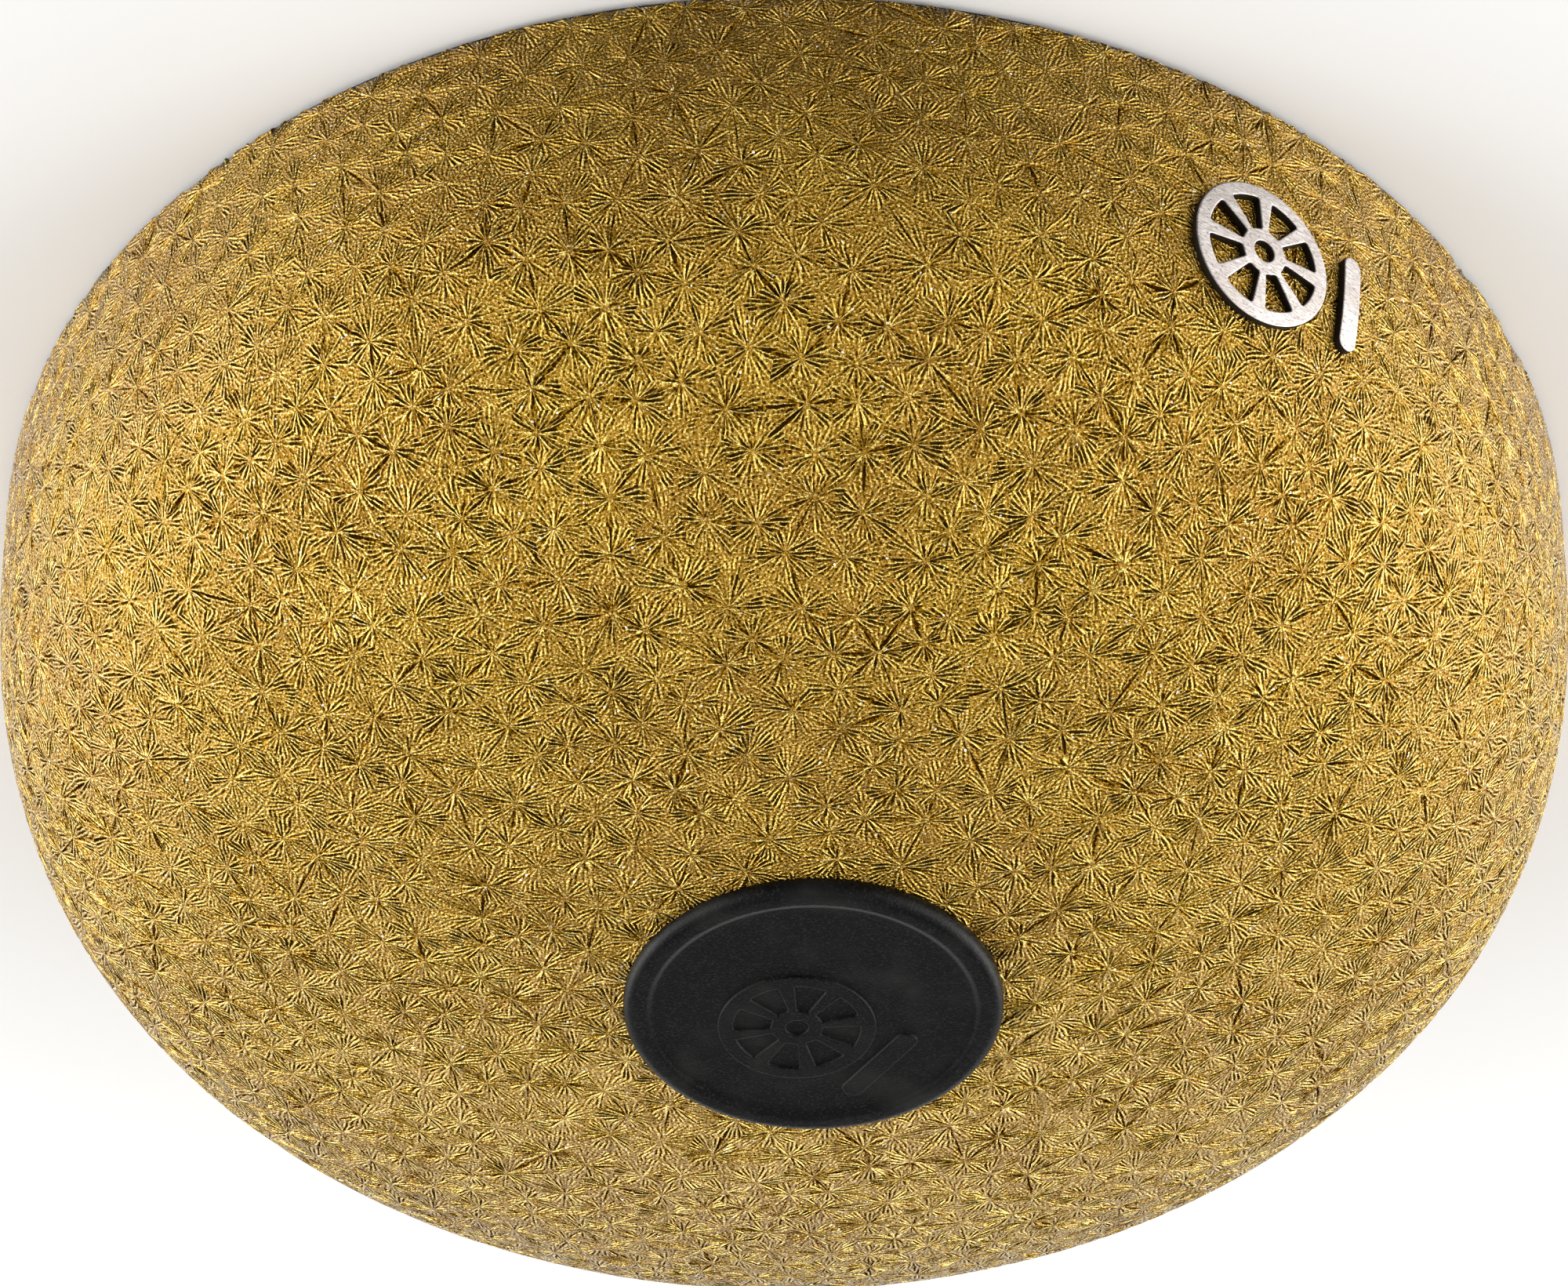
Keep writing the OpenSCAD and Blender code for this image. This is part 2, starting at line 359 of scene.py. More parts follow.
class StarMap:
    """One cell of the flat map for each star, cut into rays that meet its neighbours' rays."""

    def __init__(self, rng):
        self.rng = rng
        scattered = scatter_stars(rng)
        found = delaunay_2d_cdt([Vector(p) for p in scattered], [], [], 0, 1e-9)
        self.stars = np.array([tuple(p) for p in found[0]])
        triangles = np.array(found[2])
        corners = circumcentres(*(self.stars[triangles[:, k]] for k in range(3)))
        self.corners = corners
        self.points = [tuple(p) for p in corners]
        self.heights = list(rng.uniform(-0.4, 0.4, len(corners)))
        self.borders = {}
        self.triangles = []
        self.owner = []
        self.after = {}
        self.start = {}
        for t, (a, b, c) in enumerate(triangles):
            for star, out, back in ((a, b, c), (b, c, a), (c, a, b)):
                self.after[star, out] = (t, back)
                self.start[star] = out
        for star in self.start:
            self.add_cell(star)

    def outline(self, star):
        """The star's border as (corner, neighbour) steps, or None for an open outer cell."""
        steps, out = [], self.start[star]
        while (star, out) in self.after:
            t, back = self.after[star, out]
            steps.append((t, back))
            out = back
            if out == self.start[star]:
                return steps
        return None

    def border(self, t_from, t_to, star, neighbour):
        """Point numbers along a border from one corner to the next, without the last."""
        key = (min(t_from, t_to), max(t_from, t_to))
        if key not in self.borders:
            self.borders[key] = self.new_border(key, star, neighbour)
        inner = self.borders[key]
        return [t_from] + (inner if t_from == key[0] else inner[::-1])

    def new_border(self, key, star, neighbour):
        """Ray ends on a border: ridge and valley in turn, and at times one long crease."""
        start, end = self.corners[key[0]], self.corners[key[1]]
        along = end - start
        length = np.linalg.norm(along)
        scale = covering.map_scale(np.linalg.norm(start + end) / 2)
        count = max(1, int(round(length * scale / RAY_STEP)))
        share = np.arange(1, count) + self.rng.uniform(-0.25, 0.25, count - 1)
        share = share / count
        sign = np.where(np.arange(count - 1) % 2 == 0, 1.0, -1.0)
        height = sign * self.rng.uniform(0.25, 1.0, count - 1)
        middle = (self.stars[star] + self.stars[neighbour]) / 2
        crossing = float((middle - start) @ along) / length**2 if length else 0
        creased = self.rng.random() < CREASED_SHARE
        from_corner = 0.8 / count
        if creased and count > 3 and from_corner < crossing < 1 - from_corner:
            nearest = int(np.argmin(np.abs(share - crossing)))
            share[nearest] = crossing
            height[nearest] = CREASE_HEIGHT * self.rng.uniform(0.6, 1.0)
        first = len(self.points)
        self.points += [tuple(start + s * along) for s in share]
        self.heights += list(height)
        return list(range(first, first + count - 1))

    def add_cell(self, star):
        """Fills a star's cell with triangles from its knot to its border."""
        steps = self.outline(star)
        if steps is None:
            return
        border = []
        for (t_from, neighbour), (t_to, _) in zip(steps, steps[1:] + steps[:1]):
            border += self.border(t_from, t_to, star, neighbour)
        outer = np.array([self.points[i] for i in border])
        if np.linalg.norm(outer, axis=1).max() > covering.map_r[-1]:
            return
        ring, middle = self.add_bends(self.stars[star], border, outer)
        for k in range(len(border)):
            n = (k + 1) % len(border)
            self.triangles.append((middle, ring[k], ring[n]))
            self.triangles.append((ring[k], border[k], border[n]))
            self.triangles.append((ring[k], border[n], ring[n]))
        self.owner += [star] * (len(self.triangles) - len(self.owner))

    def add_bends(self, centre, border, outer):
        """Numbers of the new points where a star's rays bend, and of its knot."""
        count = len(border)
        ray = np.array([self.heights[i] for i in border])
        strength = self.rng.uniform(0.35, 1.35)
        knot = self.rng.uniform(0.3, 1.0) * KNOT_HEIGHT / RAY_HEIGHT
        sideways = np.roll(outer, -1, 0) - outer
        drift = self.rng.uniform(-0.3, 0.3, (count, 1)) * (ray[:, None] > -1)
        place = centre + RING_SHARE * (outer + drift * sideways - centre)
        height = ray * strength * self.rng.uniform(0.6, 1.2, count)
        height = height + knot * max(0.0, 1 - RING_SHARE * 2.4)
        first = len(self.points)
        self.points += [tuple(p) for p in place] + [tuple(centre)]
        self.heights += list(height) + [knot]
        return list(range(first, first + count)), first + count


def lumps(place):
    """Gentle unevenness of the hand-laid covering, from -1 to 1."""
    rng = np.random.default_rng(5)
    total = np.zeros(len(place))
    for wave in (60 * MM, 36 * MM, 22 * MM):
        for _ in range(5):
            along = rng.normal(size=3)
            along *= 2 * math.pi / wave / np.linalg.norm(along)
            total += np.sin(place @ along + rng.uniform(0, 2 * math.pi))
    return total / 6


def gold_covering(material):
    """The crackled covering, from under the pad to the inside of the rim's edge."""
    rng = np.random.default_rng(11)
    cells = StarMap(rng)
    flat = np.array(cells.points)
    relief = np.array(cells.heights)
    faces = np.array(cells.triangles)
    owner = np.array(cells.owner)

    map_r = np.linalg.norm(flat, axis=1)
    phi = np.arctan2(flat[:, 1], flat[:, 0])
    walk = covering.walk_at(map_r)
    outside = walk > covering.end_walk
    walk = np.minimum(walk, covering.end_walk)
    base = covering.at(walk, phi, 0.0)
    calm = 1 - 0.8 * smoothstep(covering.rim_walk - 4 * MM, covering.rim_walk, walk)
    height = (relief * RAY_HEIGHT + lumps(base) * LUMP_HEIGHT) * calm
    place = covering.at(walk, phi, height)
    place[:, 2] = np.maximum(place[:, 2], EDGE_Z)

    from_pad = np.hypot(base[:, 0] - PAD_AXIS.x, base[:, 1] - PAD_AXIS.y)
    under_pad = (from_pad < POCKET_R + 1 * MM) & (base[:, 2] > 100 * MM)
    keep = ~outside[faces].all(1) & ~under_pad[faces].all(1)
    faces, owner = faces[keep], owner[keep]

    used = np.unique(faces)
    number = np.zeros(len(place), np.int32)
    number[used] = np.arange(len(used))
    mesh = triangle_mesh("gold_covering", place[used], number[faces])
    keep_values(mesh, "relief", relief[used])
    from_star = star_coordinates(cells, flat, faces, owner, rng)
    keep_values(mesh, "star", from_star, "FLOAT_VECTOR", "CORNER")
    mesh.update(calc_edges=True)
    return dress(link_mesh("gold_covering", mesh), "outer_skin", material)


def triangle_mesh(name, points, faces):
    """A smooth mesh of many triangles, from arrays."""
    mesh = bpy.data.meshes.new(name)
    mesh.vertices.add(len(points))
    mesh.vertices.foreach_set("co", points.astype(np.float32).ravel())
    mesh.loops.add(faces.size)
    mesh.loops.foreach_set("vertex_index", faces.ravel())
    mesh.polygons.add(len(faces))
    mesh.polygons.foreach_set("loop_start", np.arange(0, faces.size, 3, dtype=np.int32))
    mesh.polygons.foreach_set("use_smooth", np.ones(len(faces), bool))
    return mesh


def star_coordinates(cells, flat, faces, owner, rng):
    """Each face corner's place seen from its own star, in millimetres, and the star's mark."""
    star = cells.stars[owner][:, None, :]
    offset = (flat[faces] - star) * covering.map_scale(np.linalg.norm(star, axis=2))[..., None]
    mark = rng.random(len(cells.stars))[owner] * 100
    marks = np.repeat(mark[:, None, None], 3, 1)
    return np.concatenate([offset / MM, marks], 2)


# ---- Wheel and bar outlines ------------


def arc(radius, start, end, step=0.7 * MM):
    """Points on a circle from one angle to another, about a step apart."""
    count = max(3, int(abs(end - start) * radius / step))
    turn = np.linspace(start, end, count + 1)
    return np.stack([radius * np.cos(turn), radius * np.sin(turn)], 1)


def round_corners(loop, radius, steps=3):
    """A closed loop with its sharp corners rounded. The loop is evenly dense between them."""
    found = []
    for i, here in enumerate(loop):
        before, after = loop[i - 1] - here, loop[(i + 1) % len(loop)] - here
        size_b, size_a = np.linalg.norm(before), np.linalg.norm(after)
        if before @ after / (size_b * size_a) < -0.8:
            found.append(here)
            continue
        start = here + before / size_b * min(radius, size_b * 0.8)
        end = here + after / size_a * min(radius, size_a * 0.8)
        found += corner_curve(start, here, end, steps)
    return np.array(found)


def spoke_half_angle(r):
    """Half the angle that a spoke takes up at a radius. It widens from the hub to the ring."""
    start = HUB_R - 1 * MM
    end = WHEEL_R - RING_W + 0.6 * MM
    half = SPOKE_HALF_IN + (SPOKE_HALF_OUT - SPOKE_HALF_IN) * (r - start) / (end - start)
    return math.asin(half / r)


def wheel_window(i):
    """The gap between two spokes: clockwise, because it bounds material on its outside."""
    step = 2 * math.pi / SPOKES
    low = math.pi / 2 + i * step
    high = low + step
    ring_in_r = WHEEL_R - RING_W
    at_ring, at_hub = spoke_half_angle(ring_in_r), spoke_half_angle(HUB_R)
    outer = arc(ring_in_r, high - at_ring, low + at_ring)
    inner = arc(HUB_R, low + at_hub, high - at_hub)
    sides = []
    for start, end in ((outer[-1], inner[0]), (inner[-1], outer[0])):
        share = np.linspace(0, 1, 12)[1:-1, None]
        sides.append(start + share * (end - start))
    return round_corners(np.concatenate([outer, sides[0], inner, sides[1]]), 0.7 * MM)


def wheel_loops():
    """The wheel's outline and its holes."""
    rim = arc(WHEEL_R, 0, 2 * math.pi)[:-1]
    hole = arc(HUB_HOLE_R, 2 * math.pi, 0, 0.4 * MM)[:-1]
    return [rim, hole] + [wheel_window(i) for i in range(SPOKES)]


def bar_loops():
    """The outline of a bar with round ends."""
    end_y = (BAR_L - BAR_W) / 2
    side = np.linspace(-end_y, end_y, 16)[1:-1]
    top = arc(BAR_W / 2, 0, math.pi, 0.4 * MM) + [0, end_y]
    bottom = arc(BAR_W / 2, math.pi, 2 * math.pi, 0.4 * MM) - [0, end_y]
    right = np.stack([np.full_like(side, BAR_W / 2), side], 1)
    left = np.stack([np.full_like(side, -BAR_W / 2), side[::-1]], 1)
    return [np.concatenate([right, top, left, bottom])]


def loop_normals(loop):
    """Directions out of the material. The material is on the left of the loop's run."""
    along = np.roll(loop, -1, 0) - np.roll(loop, 1, 0)
    along /= np.linalg.norm(along, axis=1, keepdims=True)
    return np.stack([along[:, 1], -along[:, 0]], 1)


def shifted(loops, out):
    """The loops with every point moved straight out of the material."""
    return [loop + out * loop_normals(loop) for loop in loops]


def inside(loops, places):
    """True for places inside an odd number of loops."""
    odd = np.zeros(len(places), bool)
    x, y = places[:, :1], places[:, 1:]
    for loop in loops:
        x1, y1 = loop[:, 0], loop[:, 1]
        x2, y2 = np.roll(x1, -1), np.roll(y1, -1)
        spans = (y1 > y) != (y2 > y)
        height = np.where(y2 == y1, 1e-12, y2 - y1)
        crossed = spans & (x < (x2 - x1) * (y - y1) / height + x1)
        odd ^= crossed.sum(1) % 2 == 1
    return odd


def plate(loops, low, thickness, bevel, foot=0.0):
    """A flat plate with rounded upper edges, as points (x, y, height), faces and a mark of its
    walls, which get painted shade.

    foot is how far the wall flares outwards at its lower edge.
    """
    top = low + thickness
    steps = [(foot, low), (0.0, low + (foot or 0.3 * thickness))]
    for a in np.linspace(0, math.pi / 2, 6):
        steps.append((-bevel * (1 - math.cos(a)), top - bevel * (1 - math.sin(a))))
    steps.append((-bevel - 0.2 * MM, top))
    points, faces = [], []
    bottoms, tops = [], []
    for loop in loops:
        out = loop_normals(loop)
        first, count = len(points), len(loop)
        for shift, z in steps:
            points += [(x, y, z) for x, y in loop + shift * out]
        for i in range(len(steps) - 1):
            faces += band(first + i * count, first + (i + 1) * count, count)
        bottoms.append(first)
        tops.append(len(points) - count)
    faces += cap(shifted(loops, steps[-1][0]), tops)
    faces += [face[::-1] for face in cap(shifted(loops, steps[0][0]), bottoms)]
    points = np.array(points)
    # The last value is 1 down the walls and 0 on the top face: the walls are marked for painted
    # shade.
    return points, faces, smoothstep(top, top - 0.7 * bevel, points[:, 2])


def cap(loops, first):
    """Triangles that fill the loops, numbered from each loop's first point."""
    flat = np.concatenate(loops)
    number = np.concatenate([np.arange(len(l)) + f for l, f in zip(loops, first)])
    edges, start = [], 0
    for loop in loops:
        edges += [(start + k, start + (k + 1) % len(loop)) for k in range(len(loop))]
        start += len(loop)
    found = delaunay_2d_cdt([Vector(p) for p in flat], edges, [], 0, 1e-9)
    places = np.array([tuple(p) for p in found[0]])
    source = np.array([o[0] if o else -1 for o in found[3]])
    triangles = np.array(found[2])
    keep = inside(loops, places[triangles].mean(1)) & (source[triangles] >= 0).all(1)
    return [tuple(int(i) for i in number[source[t]]) for t in triangles[keep]]


# ---- Pieces ------------


def pad_section():
    """Half outline of the pad. Points 2 to 4 lie on the dome, so their heights come later."""
    bead_out = PAD_R - PAD_SHOULDER
    bead_in = bead_out - PAD_BEAD_W
    shoulder = [
        (bead_out + PAD_SHOULDER * math.cos(a), PAD_TOP - PAD_SHOULDER * (1 - math.sin(a)))
        for a in np.linspace(0, math.pi / 2, 12)
    ]
    slope = [
        (bead_in - PAD_SLOPE_W * s, PAD_TOP - PAD_DISH * s * s * (3 - 2 * s))
        for s in np.linspace(0, 1, 13)
    ]
    plug = [(AXIS_R, POCKET_Z), (POCKET_R, POCKET_Z)]
    on_dome = [(POCKET_R, 0), (PAD_R - 0.3 * MM, 0), (PAD_R, 0)]
    face = [(r, PAD_TOP - PAD_DISH) for r in (37 * MM, 30 * MM, 20 * MM, 10 * MM, AXIS_R)]
    return plug + on_dome + shoulder + slope + face


def crown_pad(material):
    """Moulded pad: rounded shoulder, flat bead, dished face and a raised wheel and bar."""
    segments = 192
    points, faces = lathe(pad_section(), segments, PAD_AXIS, closed=False)
    rings = points.reshape(-1, segments, 3)
    for ring, sink in zip(rings[2:5], (0.1 * MM, 0.1 * MM, -0.3 * MM)):
        ring[:, 2] = EDGE_Z + height_at(np.hypot(ring[:, 0], ring[:, 1])) - sink
    pad = Parts()
    pad.add(points, faces)
    for loops, shift in ((wheel_loops(), 0.0), (bar_loops(), -RELIEF_GAP)):
        places, faces, _ = plate(loops, -0.1 * MM, RELIEF_H + 0.1 * MM, 0.4 * MM, foot=0.2 * MM)
        pad.add(places + [PAD_AXIS.x + shift, PAD_AXIS.y + RELIEF_Y, PAD_TOP - PAD_DISH], faces)
    return pad.piece("crown_pad_rubber", "crown_pad", "pad_rubber", material)


def pin(place):
    """A badge pin with a rounded end, as badge points."""
    tip = [(AXIS_R, -PIN_END), (PIN_R * 0.7, -PIN_END), (PIN_R, -PIN_END + 0.4 * MM)]
    section = tip + [(PIN_R, -4 * MM), (PIN_R, 0.2 * MM), (AXIS_R, 0.2 * MM)]
    return lathe(section, 24, place, closed=False)


def stiff_on_wall(points, place, angle):
    """Moves a small stiff shape to a pin's place without bending it."""
    spot = np.array([[place[0], place[1], 0.0]])
    tips = spot + np.array([[0, 0, 0], [1, 0, 0], [0, 1, 0], [0, 0, 1]]) * MM
    here, x, y, z = on_wall(tips, angle)
    out = (z - here) / np.linalg.norm(z - here)
    across = (x - here) / np.linalg.norm(x - here)
    up = np.cross(out, across)
    local = points - spot
    return here + local[:, :1] * across + local[:, 1:2] * up + local[:, 2:] * out


PIN_CIRCLE_R = WHEEL_R - RING_W / 2
WHEEL_PINS = [
    (PIN_CIRCLE_R * math.cos(a), PIN_CIRCLE_R * math.sin(a))
    for a in np.radians((90, 210, 330))
]
BAR_PINS = [(0.0, -0.32 * BAR_L), (0.0, 0.32 * BAR_L)]


def badge(name, node, loops, pins, angle, material):
    """A cast badge piece that follows the dome, with its pins."""
    parts = Parts()
    points, faces, shade_and_grime = plate(loops, 0.0, BADGE_T, BADGE_BEVEL)
    parts.add(on_wall(points, angle), faces, shade_and_grime)
    for place in pins:
        points, faces = pin(place)
        parts.add(stiff_on_wall(points, place, angle), faces)
    return parts.piece(name, node, "badge_metal", material)


def clips(name, node, pins, angle, material):
    """Push-on clips: a dished ring whose teeth grip the pin."""
    parts = Parts()
    segments, teeth = 72, 6
    turn = circle_angles(segments)
    gap = 1 - smoothstep(-0.2, 0.2, np.cos(teeth * turn))
    inner = PIN_R + 1.3 * MM * gap
    for x, y in pins:
        depth = WALL_T + 0.6 * MM + (x**2 + y**2) / RIM_R / 2
        rings = []
        for share, side in ((0, 0), (0.5, 0), (1, 0), (1, 1), (0.5, 1), (0, 1)):
            r = inner + (CLIP_R - inner) * share
            to_pin = 1 - (r - PIN_R) / (CLIP_R - PIN_R)
            dish = 0.8 * MM * to_pin**1.5 * (1 - 0.2 * side)
            drop = depth + CLIP_T * side + dish
            rings.append(np.stack([x + r * np.cos(turn), y + r * np.sin(turn), -drop], 1))
        faces = [f[::-1] for f in ring_faces(len(rings), segments, True)]
        parts.add(stiff_on_wall(np.concatenate(rings), (x, y), angle), faces)
    return parts.piece(name, node, "plated_steel", material)


def shell(material):
    """Fibreglass dome with a thick boss and a shallow pocket under the pad."""
    segments = 192
    turn = circle_angles(segments)

    def ring(r, height):
        """A ring round the pad's axis near the crown and round the dome's axis lower down.

        The height is a number, or a profile that gives one for each distance from the axis.
        """
        shift = 1 - smoothstep(60 * MM, 120 * MM, r)
        x = PAD_AXIS.x * shift + r * np.cos(turn)
        y = PAD_AXIS.y * shift + r * np.sin(turn)
        z = np.interp(np.hypot(x, y), *height) if isinstance(height, tuple) else height
        return np.stack([x, y, np.broadcast_to(z, turn.shape)], 1)

    def wall(profile, start):
        """Rings down a profile. Below the shifted part every ring is level."""
        places = [(r, z) for r, z in zip(*profile) if r > start]
        return [ring(r, profile if r < 130 * MM else z) for r, z in places[::3] + places[-1:]]

    inner, outer = dome_profile(WALL_T, 400), dome_profile(SKIN_T, 400)
    boss_edge = BOSS_FOOT_R + 1.75 * MM
    rings = [ring(r, BOSS_Z) for r in (HOLE_R, 6 * MM, 14 * MM, 24 * MM, 34 * MM, 41.4 * MM)]
    rings += [ring(BOSS_FOOT_R + s, BOSS_Z + s * BOSS_SLOPE) for s in (0.1 * MM, 0.8 * MM)]
    rings += [ring(boss_edge, inner)] + wall(inner, boss_edge + 2 * MM)
    rings += wall(outer, POCKET_R + 2 * MM)[::-1]
    rings += [ring(POCKET_R, outer), ring(POCKET_R, POCKET_Z), ring(HOLE_R, POCKET_Z)]
    parts = Parts()
    parts.add(np.concatenate(rings), ring_faces(len(rings), segments, True))
    return parts.piece("fibreglass_shell", "shell", "fibreglass", material, sharp_angle=35)


def turned(name, node, slot, material, corners, segments=192, centre=(0, 0)):
    """A ring-shaped piece turned from a section with rounded corners."""
    parts = Parts()
    parts.add(*lathe(rounded(corners), segments, centre))
    return parts.piece(name, node, slot, material)


def rim_hoop(material):
    """Plywood hoop with a well rounded edge where a hand reaches in."""
    outer, inner = RIM_R - WALL_T - 0.05 * MM, RIM_R - WALL_T - HOOP_T
    top = SEAT_T + HOOP_H
    low_edge = [(inner, SEAT_T, 0.5 * MM), (outer, SEAT_T, 0.3 * MM)]
    high_edge = [(outer, top, 0.3 * MM), (inner, top, 2 * MM)]
    return turned("plywood_hoop", "rim_hoop", "hoop_wood", material, low_edge + high_edge)


def rim_seat(material):
    """Soft strip under the rim."""
    outer = RIM_R - SEAT_INSET
    inner = outer - SEAT_W
    soft, crisp = 0.5 * MM, 0.2 * MM
    corners = [(inner, 0, soft), (outer, 0, soft), (outer, SEAT_T, crisp), (inner, SEAT_T, crisp)]
    return turned("soft_rim_seat", "rim_seat", "seat_rubber", material, corners)


def washer(name, node, slot, material, low, high, edge):
    """A washer on the pad's stud."""
    around = ((HOLE_R, low), (WASHER_R, low), (WASHER_R, high), (HOLE_R, high))
    corners = [(r, z, edge) for r, z in around]
    return turned(name, node, slot, material, corners, 96, PAD_AXIS)


def threaded(radius, low, high, segments=48):
    """A threaded rod with a chamfered lower end."""
    turn = np.arange(segments) / segments
    rings = int((high - low) / THREAD_PITCH * 8)
    z = np.linspace(low, high, rings)[:, None]
    phase = (z / THREAD_PITCH - turn) % 1
    groove = THREAD_DEPTH * np.abs(2 * phase - 1)
    cut = np.clip(low + THREAD_DEPTH - z, 0, THREAD_DEPTH)
    r = radius - np.maximum(groove, cut)
    points = np.empty((rings, segments, 3))
    points[..., 0] = r * np.cos(2 * math.pi * turn)
    points[..., 1] = r * np.sin(2 * math.pi * turn)
    points[..., 2] = z
    return points.reshape(-1, 3), ring_faces(rings, segments, False)


def pad_insert(material):
    """Steel disc inside the pad, with its stud."""
    parts = Parts()
    bore, edge = 0.5 * MM, 0.3 * MM
    corners = [(bore, INSERT_LOW, 0), (INSERT_R, INSERT_LOW, edge)]
    corners += [(INSERT_R, INSERT_HIGH, edge), (bore, INSERT_HIGH, 0)]
    parts.add(*lathe(rounded(corners), 96, PAD_AXIS))
    points, faces = threaded(STUD_R, STUD_LOW, INSERT_LOW + 0.5 * MM)
    parts.add(points + [PAD_AXIS.x, PAD_AXIS.y, 0], faces)
    return parts.piece("pad_stud", "pad_insert", "plated_steel", material)


def lock_nut(material):
    """Hexagon nut with chamfered corners and a round locking collar below it."""
    segments, chamfer, collar_edge, bore_edge = 96, 0.8 * MM, 0.5 * MM, 0.4 * MM
    turn = circle_angles(segments)
    hexagon = NUT_HALF / np.cos((turn + math.pi / 6) % (math.pi / 3) - math.pi / 6)

    def cut(share):
        """The hexagon inside the chamfer's cone, at a share of the chamfer's height."""
        return np.minimum(hexagon, 0.97 * NUT_HALF + 1.73 * chamfer * share)

    shares = (0, 0.35, 0.7, 1)
    rings = [(NUT_BORE_R, LOAD_LOW), (COLLAR_R, LOAD_LOW)]
    rings += [(cut(share), LOAD_LOW - chamfer * share) for share in shares]
    rings += [(cut(share), NUT_LOW + chamfer * share) for share in shares[::-1]]
    rings += [(COLLAR_R, NUT_LOW), (COLLAR_R, COLLAR_LOW + collar_edge)]
    rings += [(COLLAR_R - collar_edge, COLLAR_LOW), (NUT_BORE_R + bore_edge, COLLAR_LOW)]
    rings += [(NUT_BORE_R, COLLAR_LOW + bore_edge)]
    points = []
    for r, z in rings:
        x, y = PAD_AXIS.x + r * np.cos(turn), PAD_AXIS.y + r * np.sin(turn)
        points += list(np.stack([x, y, np.full_like(turn, z)], 1))
    parts = Parts()
    parts.add(points, [f[::-1] for f in ring_faces(len(rings), segments, True)])
    return parts.piece("hexagon_lock_nut", "lock_nut", "plated_steel", material, 30)


# ---- Materials ------------


class Graph:
    """A node tree, with short calls for the nodes used here."""

    def __init__(self, tree):
        self.tree = tree

    def add(self, kind, **settings):
        node = self.tree.nodes.new(kind)
        for key, value in settings.items():
            setattr(node, key, value)
        return node

    def link(self, source, target):
        self.tree.links.new(source, target)

    def feed(self, socket, value):
        if isinstance(value, bpy.types.NodeSocket):
            self.link(value, socket)
        elif value is not None:
            socket.default_value = value

    def math(self, operation, a, b=None):
        node = self.add("ShaderNodeMath", operation=operation)
        self.feed(node.inputs[0], a)
        self.feed(node.inputs[1], b)
        return node.outputs[0]

    def plus(self, a, b):
        return self.math("ADD", a, b)

    def times(self, a, b):
        return self.math("MULTIPLY", a, b)

    def vector(self, operation, a, b=None):
        node = self.add("ShaderNodeVectorMath", operation=operation)
        self.feed(node.inputs[0], a)
        self.feed(node.inputs[1], b)
        one_number = operation in ("LENGTH", "DOT_PRODUCT")
        return node.outputs["Value" if one_number else "Vector"]

    def split(self, vector):
        """The X, Y and Z of a vector."""
        node = self.add("ShaderNodeSeparateXYZ")
        self.link(vector, node.inputs[0])
        return node.outputs

    def join(self, x, y):
        """A vector from an X and a Y."""
        node = self.add("ShaderNodeCombineXYZ")
        self.feed(node.inputs["X"], x)
        self.feed(node.inputs["Y"], y)
        return node.outputs[0]

    def attribute(self, name, output="Fac"):
        return self.add("ShaderNodeAttribute", attribute_name=name).outputs[output]

    def ramp(self, value, low, high, to_low=0.0, to_high=1.0):
        """Goes smoothly from one number to another while the value goes from low to high."""
        node = self.add("ShaderNodeMapRange", interpolation_type="SMOOTHSTEP")
        for socket, item in zip(node.inputs, (value, low, high, to_low, to_high)):
            self.feed(socket, item)
        return node.outputs[0]

    def texture(self, kind, at, inputs, **settings):
        """A texture node with its place and its inputs by name."""
        node = self.add(kind, **settings)
        self.link(at, node.inputs["Vector"])
        for name, value in inputs.items():
            self.feed(node.inputs[name], value)
        return node.outputs

    def gabor(self, at, scale, frequency, anisotropy, orientation=None):
        """Evenly spaced waves about zero, along one way when the anisotropy is high."""
        inputs = {"Scale": scale, "Frequency": frequency, "Anisotropy": anisotropy}
        inputs["Orientation"] = orientation
        waves = self.texture("ShaderNodeTexGabor", at, inputs, gabor_type="2D")
        return self.math("SUBTRACT", waves["Value"], 0.5)

    def mix(self, factor, a, b):
        node = self.add("ShaderNodeMix", data_type="RGBA")
        self.feed(node.inputs["Factor"], factor)
        self.feed(node.inputs[6], a)
        self.feed(node.inputs[7], b)
        return node.outputs[2]


class Nodes(Graph):
    """A material with one shader, laid out in its piece's own coordinates."""

    def __init__(self, name):
        self.material = bpy.data.materials.new(name)
        self.material.use_nodes = True
        super().__init__(self.material.node_tree)
        self.tree.nodes.clear()
        self.shader = self.add("ShaderNodeBsdfPrincipled")
        output = self.add("ShaderNodeOutputMaterial")
        self.link(self.shader.outputs["BSDF"], output.inputs["Surface"])
        self.place = self.add("ShaderNodeTexCoord").outputs["Object"]

    def set(self, **values):
        """Sets the shader's own sockets, named with _ for spaces."""
        for name, value in values.items():
            self.feed(self.shader.inputs[name.replace("_", " ")], value)

    def noise(self, scale, detail=2.0, roughness=0.5, distortion=0.0, at=None):
        inputs = {"Scale": scale, "Detail": detail}
        inputs |= {"Roughness": roughness, "Distortion": distortion}
        return self.texture("ShaderNodeTexNoise", at or self.place, inputs)["Fac"]

    def stretched(self, scale, turn=(0.0, 0.0, 0.0)):
        """The piece's own coordinates, scaled and turned."""
        inputs = {"Scale": scale, "Rotation": turn}
        return self.texture("ShaderNodeMapping", self.place, inputs)["Vector"]

    def bump(self, height, distance):
        node = self.add("ShaderNodeBump")
        node.inputs["Distance"].default_value = distance
        self.link(height, node.inputs["Height"])
        self.link(node.outputs["Normal"], self.shader.inputs["Normal"])
        self.link(node.outputs["Normal"], self.shader.inputs["Coat Normal"])


